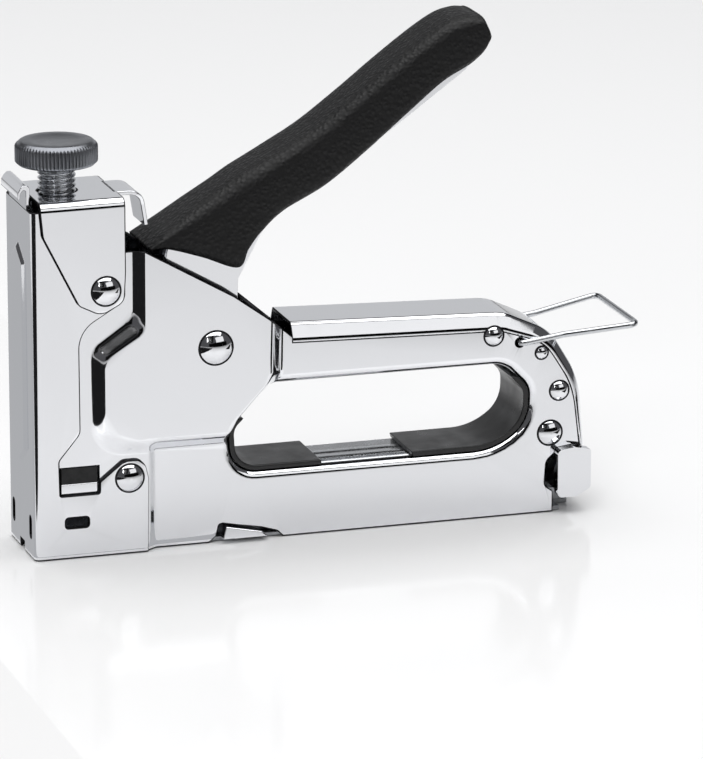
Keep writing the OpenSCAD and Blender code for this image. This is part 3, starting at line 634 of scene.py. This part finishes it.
class STAPLEGUN_OT_body(bpy.types.Operator):
    """Folded body: two side skins with pressed boss and rolled loop lips, the bar's fold and the loop wall"""
    bl_idname = "staplegun.body"
    bl_label = "Body"

    def height(self, p):
        """How far the side's surface stands out at a point."""
        base = PLATE + (PANEL - PLATE) * smooth((p.x - STEP_X) / STEP_LENGTH)
        if inside(self.boss, p):
            level = BOSS_OUT
        elif inside(self.foot, p):
            out, up = distance_to(self.foot, p), distance_to(self.boss, p)
            level = base + (BOSS_OUT - base) * smooth(out / max(out + up, 1e-6))
        else:
            level = base
        near = distance_to(self.loop, p)
        if near < LIP:
            level -= LIP - math.sqrt(max(0.0, LIP ** 2 - (LIP - near) ** 2))
        return level

    def fold(self):
        """Sections of the bar's fold, from one side panel over the crown to the other."""
        edge, crown = outline(BAR_EDGE, False), outline(BAR_CROWN, False)
        rings, seam = [], []
        for i, (e, t) in enumerate(zip(edge, crown)):
            ahead = ahead_at(edge, i)
            inward = Vector((-ahead.y, ahead.x))
            low, high = Vector((e.x, -PANEL, e.y)), Vector((t.x, -CROWN_HALF, t.y))
            band = (high - low).normalized()
            start_at = low + Vector((inward.x, 0, inward.y)) * FOLD
            seam.append(Vector((start_at.x, start_at.z)))
            half = curve(start_at, low, low + band * FOLD, 6)
            half += curve(high - band * FOLD, high, high + Vector((0, FOLD, 0)), 6)
            rings.append(half + [Vector((p.x, -p.y, p.z)) for p in reversed(half)])
        return rings, seam

    def execute(self, context):
        chrome_plate(colour=as_hex(context.scene.staplegun_sheet.chrome))
        painted_edge_shade()
        self.loop, self.boss, self.foot = outline(LOOP), outline(BOSS), outline(BOSS_FOOT)
        rings, seam = self.fold()
        foot = outline(PANEL_FOOT + [(WALL, 0, 0)], False)
        side = [Vector((WALL, PLATE_TOP)), Vector((WALL, 0))] + foot[::-1][1:]
        side += seam + [Vector(p) for p in HANDLE_SLOPE]
        window = four_corners((7.9, 19.2), (18.6, 26.4))
        (left, right), (low, high) = SLOT_X, SLOT_Z
        corners = ((left, low), (left, high), (right, high), (right, low))
        slot = outline([(x, z, SLOT_RADIUS) for x, z in corners])
        holes = [self.loop, window, slot, circle((146.5, 52), 1.3)]
        slopes = [[a.lerp(b, k / 8) for a, b in zip(self.foot, self.boss)] for k in range(9)]
        lips = [offset(self.loop, LIP * (1 - math.cos(math.pi / 2 * k / 7))) for k in range(1, 8)]
        steps = [STEP_X + STEP_LENGTH * k / 8 for k in range(9)]
        lines = [[Vector((x, -1)), Vector((x, 34))] for x in steps]
        for sign, hand in ((-1, "near"), (1, "far")):
            sheet(f"side_skin_{hand}", side, holes, slopes + lips, lines,
                  lambda p: place(p.x, sign * self.height(p), p.y), lambda v: Vector((0, sign, 0)),
                  "body_shell", "shell_chrome")
        self.bar_fold(rings)
        self.loop_wall()
        return {"FINISHED"}

    def bar_fold(self, rings):
        """The bar over the hand loop, with its outer side up."""
        verts, faces = skin([[place(*p) for p in ring] for ring in rings], False, False)
        top = max(faces, key=lambda f: verts[f[0]].z)
        a, b, c = (verts[i] for i in top[:3])
        if (b - a).cross(c - a).z < 0:
            faces = [f[::-1] for f in faces]
        sheet_piece("bar_fold", verts, faces, "body_shell", "shell_chrome")

    def loop_wall(self):
        """The wall round the hand loop, with the seam where the two halves of the sheet meet."""
        middle, depth, half = (104, 33), 0.35, 0.3
        rows = []
        for p in self.loop:
            y = self.height(p)
            groove = (Vector(middle) - p).normalized() * -depth
            seam = place(p.x + groove.x, 0, p.y + groove.y)
            rows.append([place(p.x, -y, p.y), place(p.x, -half, p.y), seam, place(p.x, half, p.y),
                         place(p.x, y, p.y)])
        rows.append(rows[0])
        steel = zinc_steel("loop_wall_steel", "#c2c4c7", 0.22)
        verts, faces = skin(rows, False, False)
        part = finish_mesh("loop_wall", verts, faces, "frame", steel, "body_shell", "shell_chrome")
        modify(part, "thickness", "SOLIDIFY", thickness=0.4 * MM, offset=0)


class STAPLEGUN_OT_cover(bpy.types.Operator):
    """Nose cover: front plate with the pressed rib, folded sides, slots and the hooked lip"""
    bl_idname = "staplegun.cover"
    bl_label = "Nose cover"

    RADIUS, RIB_DEPTH, RIB_SLOPE = 1.7, 0.8, 2.0

    def to_space(self, p):
        """Folds the flat plate's sides back and presses the rib out of its front."""
        y, x = roll(p.x, COVER_OUT, self.RADIUS)
        if inside(self.rib, p):
            x -= self.RIB_DEPTH * smooth(distance_to(self.rib, p) / self.RIB_SLOPE)
        return place(x, y, p.y)

    def unfold(self, x):
        """How far across the flat plate a point of its side lies."""
        return COVER_OUT - self.RADIUS + math.pi / 2 * self.RADIUS + x - self.RADIUS

    def execute(self, context):
        self.rib = outline(RIB)
        right = [Vector((self.unfold(p.x), p.y)) for p in outline(COVER_SIDE, False)]
        notch = [Vector(p) for p in ((-2.3, 0), (-2.3, 2.5), (2.3, 2.5), (2.3, 0))]
        edge = notch + right + [Vector((-p.x, p.y)) for p in reversed(right)]
        holes = []
        for side in (-1, 1):
            folded = sorted(side * self.unfold(x) for x in SLOT_X)
            holes.append(four_corners((side * 9.5 - 1.2, side * 9.5 + 1.2), (5.7, 12.2), 1.15))
            holes.append(four_corners(folded, SLOT_Z, SLOT_RADIUS))
        rings = [offset(self.rib, -d) for d in (0.25, 0.5, 0.8, 1.1, 1.4, 1.7, 2.0)] + [self.rib]
        lines = [[Vector((x, -1)), Vector((x, 103))] for x in fold_lines(COVER_OUT, self.RADIUS)]
        sheet("cover_skin", edge, holes, rings, lines, self.to_space,
              lambda v: Vector((v.x - place(14, 0, 0).x, v.y, 0)), "nose_cover", "nose_chrome")
        self.lip()
        return {"FINISHED"}

    def lip(self):
        """The hooked lip above the front plate."""
        rings = [[place(x, y, z) for x, z in COVER_LIP] for y in (-9.5, -9.2, -4, 0, 4, 9.2, 9.5)]
        chrome = bpy.data.materials["chrome_plate"]
        part = finish_mesh("cover_lip", *skin(rings), "frame", chrome, "nose_cover", "nose_chrome")
        crisp(part, 0.2, 2, 40)


class STAPLEGUN_OT_cap(bpy.types.Operator):
    """Top cap: folded over the nose with two ears, a hole for the screw and a curled tongue behind"""
    bl_idname = "staplegun.cap"
    bl_label = "Top cap"

    RADIUS, TOP = 2.6, 104.7

    def to_space(self, p):
        """Folds the flat cap's ears down."""
        y, drop = roll(p.y, EAR_OUT, self.RADIUS)
        return place(p.x, y, self.TOP - drop)

    def execute(self, context):
        front, back = 2.45, 27.3
        fold_end = EAR_OUT - self.RADIUS + math.pi / 2 * self.RADIUS
        ear = outline([(front, self.TOP, 0)] + CAP_EAR + [(back, self.TOP, 0)], False)[1:-1]
        upper = [Vector((front, fold_end))]
        upper += [Vector((p.x, fold_end + self.TOP - self.RADIUS - p.y)) for p in ear]
        upper += [Vector((back, fold_end))]
        edge = upper + [Vector((p.x, -p.y)) for p in reversed(upper)]
        lines = [[Vector((-1, y)), Vector((30, y))] for y in fold_lines(EAR_OUT, self.RADIUS)]
        sheet("cap_skin", edge, [circle((11.5, 0), 5.7, 40)], [], lines, self.to_space,
              lambda v: Vector((0, v.y, max(0, v.z - 0.1))), "top_cap", "cap_chrome")
        self.tongue()
        return {"FINISHED"}

    def tongue(self):
        """The narrow tongue behind the cap, curled down and tapering."""
        curl = rounded_route([place(26, 0, 104.1), place(34.4, 0, 104.1), place(36.0, 0, 94)], [7.4 * MM], 12)
        rings = []
        for i, p in enumerate(curl):
            ahead = ahead_at(curl, i)
            up = Vector((-ahead.z, 0, ahead.x)) * WALL / 2 * MM
            half = 7.0 * MM - 1.2 * MM * smooth(i / len(curl) * 1.2 - 0.4)
            side = Vector((0, half, 0))
            rings.append([p + up - side, p + up + side, p - up + side, p - up - side])
        chrome = bpy.data.materials["chrome_plate"]
        part = finish_mesh("cap_tongue", *skin(rings), "frame", chrome, "top_cap", "cap_chrome")
        crisp(part, 0.25, 2, 40)


class STAPLEGUN_OT_sheet_metal(bpy.types.Operator):
    """Small chromed parts: channel lugs, bumper bar, latch and the handle's channel"""
    bl_idname = "staplegun.sheet_metal"
    bl_label = "Small chromed parts"

    def execute(self, context):
        dress(("channel_lugs", "bumper_bar", "rear_latch", "handle_channel"),
              bpy.data.materials["chrome_plate"], context.scene.staplegun_sheet.edge_round)
        return {"FINISHED"}


class STAPLEGUN_OT_rivets(bpy.types.Operator):
    """Domed rivet heads and pins"""
    bl_idname = "staplegun.rivets"
    bl_label = "Rivets and pins"

    # Middle, radius of the dome and height of the sheet under it, in mm.
    HEADS = {"cap_rivets": ((21.4, 78.2, 4.2, 15.7),), "foot_rivet": ((28.1, 22.4, 4.1, 14.5),),
             "rear_rivets": ((138.5, 54.6, 2.9, 11.5), (158.7, 36.6, 2.9, 11.5)),
             "tail_rivet": ((153.2, 48.4, 1.9, 11.5),), "latch_pin": ((155.9, 24, 3.7, 11.5),),
             "pivot_pin": ((53.6, 59, 4.95, 15.5),)}
    # Section of the dark ring painted round each head as shade: distance beyond the dome's radius and height
    # above the sheet, in mm.
    SHADE_RING = ((-0.5, 0.0), (-0.25, 0.22), (0.1, 0.2), (0.34, 0.0))

    def execute(self, context):
        dress(self.HEADS, chrome_plate("rivet_chrome", "#e6e7ea", 0.0), 0.12, 2, 50)
        self.shade_rings()
        steel = zinc_steel("pin_steel")
        dress(("arm_rivet", "roller_pin", "lift_roller", "pivot_spacers"), steel, 0.2, 2, 40)
        return {"FINISHED"}

    def shade_rings(self):
        """A dark ring round each head, painted shade where the head meets the plate."""
        painted_shade = bpy.data.materials["painted_edge_shade"]
        for node, heads in self.HEADS.items():
            for number, (x, z, radius, level) in enumerate(heads):
                for sign, hand in ((-1, "near"), (1, "far")):
                    rings = [[place(p.x, sign * (level + rise), p.y)
                              for p in circle((x, z), radius + wider, 48)] for wider, rise in self.SHADE_RING]
                    finish_mesh(f"{node}_seat_{number}_{hand}", *skin(rings, caps=False), "frame", painted_shade,
                                "body_shell", "rivet_chrome")


class STAPLEGUN_OT_magazine(bpy.types.Operator):
    """Magazine channel, staple rail, pusher and feed rod"""
    bl_idname = "staplegun.magazine"
    bl_label = "Magazine"

    def execute(self, context):
        steel = zinc_steel("track_steel", "#a9abae", 0.3)
        dress(("magazine_channel", "staple_rail", "feed_rod", "pusher"), steel, 0.2)
        return {"FINISHED"}


class STAPLEGUN_OT_striker(bpy.types.Operator):
    """Driver blade, carrier, lift arm, spring seat and bush"""
    bl_idname = "staplegun.striker"
    bl_label = "Striker"

    def execute(self, context):
        dress(("striker_carrier", "lift_arm", "spring_seat"), phosphated_steel(), 0.25)
        dress(("driver_blade",), zinc_steel("blade_steel", "#8e9094", 0.22), 0.1, 1)
        dress(("screw_bush",), zinc_steel("bush_steel", "#9b9da0", 0.2), 0.2)
        dress(("bumper",), bumper_rubber(), 0.4, 3)
        return {"FINISHED"}


class STAPLEGUN_OT_linings(bpy.types.Operator):
    """Black linings at the two ends of the hand loop"""
    bl_idname = "staplegun.linings"
    bl_label = "Loop linings"

    def execute(self, context):
        dress(("front_insert", "rear_insert"), moulded_nylon(), 0.5, 3)
        return {"FINISHED"}


class STAPLEGUN_OT_grip(bpy.types.Operator):
    """Leather-grained vinyl grip, a loft of rounded sections along the handle"""
    bl_idname = "staplegun.grip"
    bl_label = "Grip"

    # Upper and lower points of each section, in mm from the nose's face and from the base.
    SECTIONS = (
        ((35.5, 88.4), (35.8, 87.5)), ((41.0, 92.2), (41.4, 87.0)), ((49.8, 98.2), (51.6, 83.2)),
        ((58.0, 103.4), (62.4, 78.7)), ((63.5, 106.8), (65.4, 84.0)), ((69.2, 109.8), (69.0, 89.0)),
        ((75.4, 113.1), (75.8, 95.2)), ((85.0, 118.6), (89.0, 102.2)), ((96.4, 126.8), (103.5, 113.2)),
        ((108.0, 135.7), (114.2, 122.0)), ((118.3, 143.1), (123.6, 129.6)), ((125.8, 147.6), (131.2, 133.8)),
        ((131.2, 148.9), (135.8, 137.6)), ((134.6, 148.6), (137.9, 141.4)),
    )

    def section(self, t):
        """Upper and lower points at t along the handle, by a Catmull-Rom curve through SECTIONS."""
        k = min(int(t), len(self.SECTIONS) - 2)
        u = t - k
        picks = [self.SECTIONS[max(0, min(len(self.SECTIONS) - 1, k + d))] for d in (-1, 0, 1, 2)]
        out = []
        for edge in (0, 1):
            p = [Vector(s[edge]) for s in picks]
            second = (2 * p[0] - 5 * p[1] + 4 * p[2] - p[3]) * u * u
            third = (3 * p[1] - p[0] - 3 * p[2] + p[3]) * u ** 3
            out.append(0.5 * (2 * p[1] + (p[2] - p[0]) * u + second + third))
        return out

    def ring(self, t, shrink, half_width, sides=64):
        """A section between an ellipse and a rectangle."""
        power = 2 / 4.6
        top, bottom = self.section(t)
        middle, up = (top + bottom) / 2, (top - bottom) / 2 * shrink
        points = []
        for i in range(sides):
            a = math.tau * i / sides
            c, s = math.cos(a), math.sin(a)
            y = half_width * math.copysign(abs(c) ** power, c)
            v = math.copysign(abs(s) ** power, s)
            spot = middle + up * v
            points.append(place(spot.x, y, spot.y))
        return points

    def execute(self, context):
        settings = context.scene.staplegun_grip
        half = settings.width / MM / 2
        last = len(self.SECTIONS) - 1
        steps = 110
        rings = [self.ring(0.0, 0.4, half - 1.6), self.ring(0.0, 0.85, half - 0.5)]
        rings += [self.ring(last * i / steps, 1.0, half) for i in range(steps + 1)]
        # The tip rounds over in a few shrinking sections pushed out along the handle.
        tip = rings[-1]
        top, bottom = self.section(last)
        middle = (top + bottom) / 2
        centre = place(middle.x, 0, middle.y)
        along = Vector((0.62, 0.0, 0.55)).normalized()
        for shrink, push in ((0.95, 0.5), (0.82, 1.0), (0.6, 1.35), (0.3, 1.5)):
            rings.append([centre + (p - centre) * shrink + along * push * MM for p in tip])
        vinyl = leather_grain_vinyl(settings)
        finish_mesh("grip_cover", *skin(rings), "handle", vinyl, "handle_grip", "grip_vinyl")
        return {"FINISHED"}


class STAPLEGUN_OT_knob(bpy.types.Operator):
    """Knurled tension knob"""
    bl_idname = "staplegun.knob"
    bl_label = "Tension knob"

    def execute(self, context):
        settings = context.scene.staplegun_knob
        low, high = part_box("adjusting_knob")
        radius, height = (high.x - low.x) / 2, high.z - low.z
        centre = knob_axis()
        # From the underside's middle to the top's: shares of the radius, the height and the knurl's depth.
        profile = ((0.0, 0.0, 0), (0.86, 0.0, 0), (0.925, 0.03, 0), (0.965, 0.09, 0.4), (0.995, 0.14, 1),
                   (1.0, 0.17, 1), (1.0, 0.5, 1), (1.0, 0.76, 1), (0.993, 0.80, 1), (0.965, 0.86, 0.4),
                   (0.935, 0.90, 0), (0.90, 0.955, 0), (0.87, 0.985, 0), (0.83, 1.0, 0), (0.60, 1.0, 0),
                   (0.55, 0.985, 0), (0.0, 0.985, 0))
        knurl_depth = 0.42 * MM

        def radius_at(turn):
            groove = 0.5 - 0.5 * math.cos(math.tau * turn * settings.ridges)
            return radius * share - cut * knurl_depth * groove ** 1.5

        rings = []
        for share, rise, cut in profile:
            rings.append(turned(centre, height * rise, settings.ridges * 8, radius_at))
        metal = anodised_aluminium(settings)
        piece = finish_mesh("knurled_knob", *skin(rings, caps=False), "screw", metal, "adjusting_knob",
                            "knob_aluminium")
        modify(piece, "even", "WEIGHTED_NORMAL", weight=70)
        return {"FINISHED"}


class STAPLEGUN_OT_screw(bpy.types.Operator):
    """Adjusting screw with its thread"""
    bl_idname = "staplegun.screw"
    bl_label = "Adjusting screw"

    def execute(self, context):
        settings = context.scene.staplegun_knob
        low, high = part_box("adjusting_screw")
        radius, pitch, per_pitch = (high.x - low.x) / 2, settings.thread_pitch * MM, 10
        thread_depth, chamfer = 0.75 * MM, 0.5 * MM
        centre = Vector(((low.x + high.x) / 2, 0, low.z))
        steps = int((high.z - low.z) / pitch * per_pitch)

        def radius_at(turn):
            flank = min(1.0, max(0.0, abs((z / pitch - turn) % 1.0 - 0.5) * 2.6 - 0.2))
            return radius - thread_depth * flank - (chamfer if k in (0, steps) else 0)

        rings = []
        for k in range(steps + 1):
            z = (high.z - low.z) * k / steps
            rings.append(turned(centre, z, 48, radius_at))
        zinc = zinc_steel("screw_zinc", "#c9cbce", 0.18)
        finish_mesh("threaded_screw", *skin(rings), "screw", zinc, "adjusting_screw", "screw_steel")
        return {"FINISHED"}


class STAPLEGUN_OT_springs(bpy.types.Operator):
    """Power spring, pusher spring and the handle's return spring"""
    bl_idname = "staplegun.springs"
    bl_label = "Springs"

    def execute(self, context):
        settings = context.scene.staplegun_wire
        wire = spring_wire()
        low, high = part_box("power_spring")
        outer, wire_r = (high.x - low.x) / 2, 1.05 * MM
        route = coil(Vector(((low.x + high.x) / 2, 0, low.z)), Vector((0, 0, 1)), outer - wire_r,
                     high.z - low.z, settings.power_turns, wire_r)
        piece = finish_mesh("power_coil", *skin(sweep(route, wire_r)), "frame", wire, "power_spring",
                            "spring_steel")
        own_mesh(piece)
        low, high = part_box("pusher_spring")
        outer, wire_r = (high.z - low.z) / 2, 0.35 * MM
        route = coil(Vector((low.x, 0, (low.z + high.z) / 2)), Vector((1, 0, 0)), outer - wire_r,
                     high.x - low.x, settings.feed_turns, wire_r, per_turn=16)
        piece = finish_mesh("pusher_coil", *skin(sweep(route, wire_r, 8)), "feed", wire, "pusher_spring",
                            "spring_steel")
        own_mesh(piece)
        self.return_coil(wire)
        return {"FINISHED"}

    def return_coil(self, wire):
        """A close-wound torsion spring on the pivot, with a leg to the body and one to the arm's rivet."""
        low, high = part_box("return_spring")
        pivot = Vector(JOINTS["handle_hinge"]["pos_m"])
        wire_r, turns, coil_r, half = 0.6 * MM, 4.0, 4.3 * MM, 2.4 * MM
        route = [pivot + Vector((12.4, 0, -6)) * MM - Vector((0, half, 0))]
        for i in range(int(turns * 28) + 1):
            angle = -math.tau * i / 28
            route.append(pivot + Vector((coil_r * math.cos(angle), -half + 2 * half * i / (turns * 28),
                                         coil_r * math.sin(angle))))
        route.append(pivot + Vector((-2.2, 0, 17.5)) * MM + Vector((0, half, 0)))
        finish_mesh("return_coil", *skin(sweep(spread(route, 1.5 * MM), wire_r, 8)), "handle", wire,
                    "return_spring", "spring_steel")


class STAPLEGUN_OT_bail(bpy.types.Operator):
    """Wire bail with rounded corners, its ends turned into the body"""
    bl_idname = "staplegun.bail"
    bl_label = "Wire bail"

    # Wire thickness, half spacing of the legs at the pivots and at the cross piece, in mm, and slope.
    WIRE, LEG, SPREAD, TILT = 1.8, 12.7, 17.7, math.radians(7.4)
    # Distances from the pivots to where the legs start to spread and to the cross piece, and the hooked ends.
    SPREAD_AT, REACH, HOOK = 13, 34.3, 3

    def execute(self, context):
        wire_r = self.WIRE / 2 * MM
        tilt = Vector((math.cos(self.TILT), math.sin(self.TILT)))

        def at(u, y):
            return place(146.5 + u * tilt.x, y, 52 + u * tilt.y)

        near, far = self.LEG, self.SPREAD
        half = [at(0, near - self.HOOK), at(0, near), at(self.SPREAD_AT, near), at(self.REACH, far)]
        corners = [Vector((p.x, -p.y, p.z)) for p in half] + half[::-1]
        hook, spreading, corner = 1.5 * MM, 6 * MM, 2.5 * MM
        radii = [hook, spreading, corner, corner, spreading, hook]
        route = spread(rounded_route(corners, radii), 3 * MM)
        steel = zinc_steel("bail_wire_steel", "#c3c5c8", 0.16)
        finish_mesh("bail_wire", *skin(sweep(route, wire_r)), "bail", steel, "wire_bail", "bail_steel")
        return {"FINISHED"}


class STAPLEGUN_OT_stage(bpy.types.Operator):
    """Floor, cards, lights and camera"""
    bl_idname = "staplegun.stage"
    bl_label = "Stage"

    # Cards that only reflections see: centre, the point each faces, width, height and glow.
    CARDS = (
        ("back_card", (0.4, 1.2, 0.32), (0, 0, 0.06), 2.6, 0.56, "#c9cacc"),
        ("back_dark_card", (0.4, 1.25, 1.45), (0, 0, 0.06), 3.4, 1.5, "#0a0a0a"),
        ("front_dark_card", (0.6, -1.9, 0.36), (0, 0, 0.06), 4.0, 0.72, "#050505"),
        ("front_white_card", (1.45, -2.3, 1.65), (0.5, 0, 0.06), 2.3, 1.3, "#ffffff"),
        ("left_dark_card", (-0.45, -1.15, 0.95), (0, 0, 0.06), 0.7, 0.9, "#0a0a0a"),
        ("left_floor_card", (-0.37, -0.27, 0.001), (-0.37, -0.27, 1), 0.50, 0.48, "#1c1c1d"),
        ("rear_floor_card", (-0.20, 0.235, 0.001), (-0.20, 0.235, 1), 0.34, 0.5, "#b4b5b7"),
        ("right_floor_card", (0.33, -0.085, 0.001), (0.33, -0.085, 1), 0.40, 0.09, "#161616"),
    )

    def card(self, name, centre, toward, width, height, colour):
        """A glowing card that only reflections see."""
        mesh = bpy.data.meshes.new(name)
        w, h = width / 2, height / 2
        mesh.from_pydata([(-w, -h, 0), (w, -h, 0), (w, h, 0), (-w, h, 0)], [], [(0, 1, 2, 3)])
        piece = in_scene(name, mesh)
        aim(piece, centre, toward, "Z")
        material = bpy.data.materials.new(name)
        material.use_nodes = True
        tree = material.node_tree
        tree.nodes.clear()
        glow = add(tree, "ShaderNodeEmission", {"Color": linear(colour), "Strength": 1.0})
        add(tree, "ShaderNodeOutputMaterial", None, {"Surface": glow.outputs["Emission"]})
        mesh.materials.append(material)
        piece.visible_camera = False
        piece.visible_diffuse = False
        piece.visible_shadow = False

    def floor(self):
        """A pale sweep: flat floor that curves up into a backdrop behind."""
        flat, radius, side = 3.6, 1.2, 5.0
        profile = [(-5.0, 0.0), (-1.0, 0.0), (0.0, 0.0), (flat, 0.0)]
        for k in range(1, 17):
            angle = math.pi / 2 * k / 16
            profile.append((flat + radius * math.sin(angle), radius - radius * math.cos(angle)))
        profile += [(flat + radius, 4.0)]
        under_sole = 0.0002
        verts = [Vector((x, y, z - under_sole)) for y, z in profile for x in (-side, side)]
        faces = [(2 * k, 2 * k + 1, 2 * k + 3, 2 * k + 2) for k in range(len(profile) - 1)]
        mesh = bpy.data.meshes.new("studio_floor")
        mesh.from_pydata([tuple(v) for v in verts], [], faces)
        mesh.shade_smooth()
        look = Look("studio_paper", "#f4f4f4", 0.0, 0.12, 0.3)
        paper = add(look.tree, "ShaderNodeTexNoise", {"Scale": per_mm(2)}, {"Vector": look.where})
        relief = add(look.tree, "ShaderNodeBump", {"Strength": 0.02, "Distance": 0.1 * MM},
                     {"Height": paper.outputs["Fac"]})
        look.drive(relief.outputs["Normal"], "Normal")
        mesh.materials.append(look.material)
        in_scene("studio_floor", mesh)

    def light(self, name, centre, toward, size, power):
        """A square softbox."""
        data = bpy.data.lights.new(name, "AREA")
        data.size, data.energy = size, power
        aim(in_scene(name, data), centre, toward, "-Z")

    def camera(self):
        """A long lens, in front of the nose side and a little above."""
        data = bpy.data.cameras.new("camera")
        camera = in_scene("camera", data)
        azimuth, elevation = math.radians(-17.5), math.radians(15.5)
        target, distance = place(98.9, 0, 41.8), 1739.1 * MM
        back = Vector((math.sin(azimuth) * math.cos(elevation), -math.cos(azimuth) * math.cos(elevation),
                       math.sin(elevation)))
        camera.location = target + back * distance
        camera.rotation_mode = "QUATERNION"
        camera.rotation_quaternion = (-back).to_track_quat("-Z", "Y")
        data.lens, data.sensor_width = 284.6, 36.0
        data.clip_start, data.clip_end = 0.05, 30.0
        bpy.context.scene.camera = camera

    def execute(self, context):
        self.floor()
        self.light("overhead_softbox", (0.0, 0.1, 1.6), (0, 0.1, 0), 2.4, 46)
        self.light("front_softbox", (-0.75, -1.3, 0.95), (0, 0, 0.06), 0.5, 5)
        for name, centre, toward, width, height, colour in self.CARDS:
            self.card(name, centre, toward, width, height, colour)
        world = bpy.data.worlds.new("studio")
        world.use_nodes = True
        world.node_tree.nodes["Background"].inputs["Color"].default_value = linear("#505052")
        world.node_tree.nodes["Background"].inputs["Strength"].default_value = 1.0
        context.scene.world = world
        context.scene.view_settings.view_transform = "Standard"
        self.camera()
        return {"FINISHED"}


class STAPLEGUN_PT_panel(bpy.types.Panel):
    """Lists the staple gun's pieces and their settings"""
    bl_idname = "STAPLEGUN_PT_panel"
    bl_label = "Staple gun"
    bl_space_type = "VIEW_3D"
    bl_region_type = "UI"
    bl_category = "Staple gun"

    def draw(self, context):
        layout = self.layout
        for group in ("staplegun_sheet", "staplegun_grip", "staplegun_knob", "staplegun_wire"):
            box = layout.box()
            settings = getattr(context.scene, group)
            for name in settings.__annotations__:
                box.prop(settings, name)
        for operator in OPERATORS:
            layout.operator(operator.bl_idname)


OPERATORS = (
    STAPLEGUN_OT_body, STAPLEGUN_OT_cover, STAPLEGUN_OT_cap, STAPLEGUN_OT_sheet_metal, STAPLEGUN_OT_rivets,
    STAPLEGUN_OT_magazine, STAPLEGUN_OT_striker, STAPLEGUN_OT_linings, STAPLEGUN_OT_grip, STAPLEGUN_OT_knob,
    STAPLEGUN_OT_screw, STAPLEGUN_OT_springs, STAPLEGUN_OT_bail, STAPLEGUN_OT_stage,
)
GROUPS = {
    "staplegun_sheet": SheetSettings, "staplegun_grip": GripSettings, "staplegun_knob": KnobSettings,
    "staplegun_wire": WireSettings,
}


def register():
    for cls in (*GROUPS.values(), *OPERATORS, STAPLEGUN_PT_panel):
        bpy.utils.register_class(cls)
    for name, cls in GROUPS.items():
        setattr(bpy.types.Scene, name, PointerProperty(type=cls))


def unregister():
    for name in GROUPS:
        delattr(bpy.types.Scene, name)
    for cls in reversed((*GROUPS.values(), *OPERATORS, STAPLEGUN_PT_panel)):
        bpy.utils.unregister_class(cls)


def main():
    register()
    for operator in OPERATORS:
        group, name = operator.bl_idname.split(".")
        getattr(getattr(bpy.ops, group), name)()


if __name__ == "__main__":
    main()
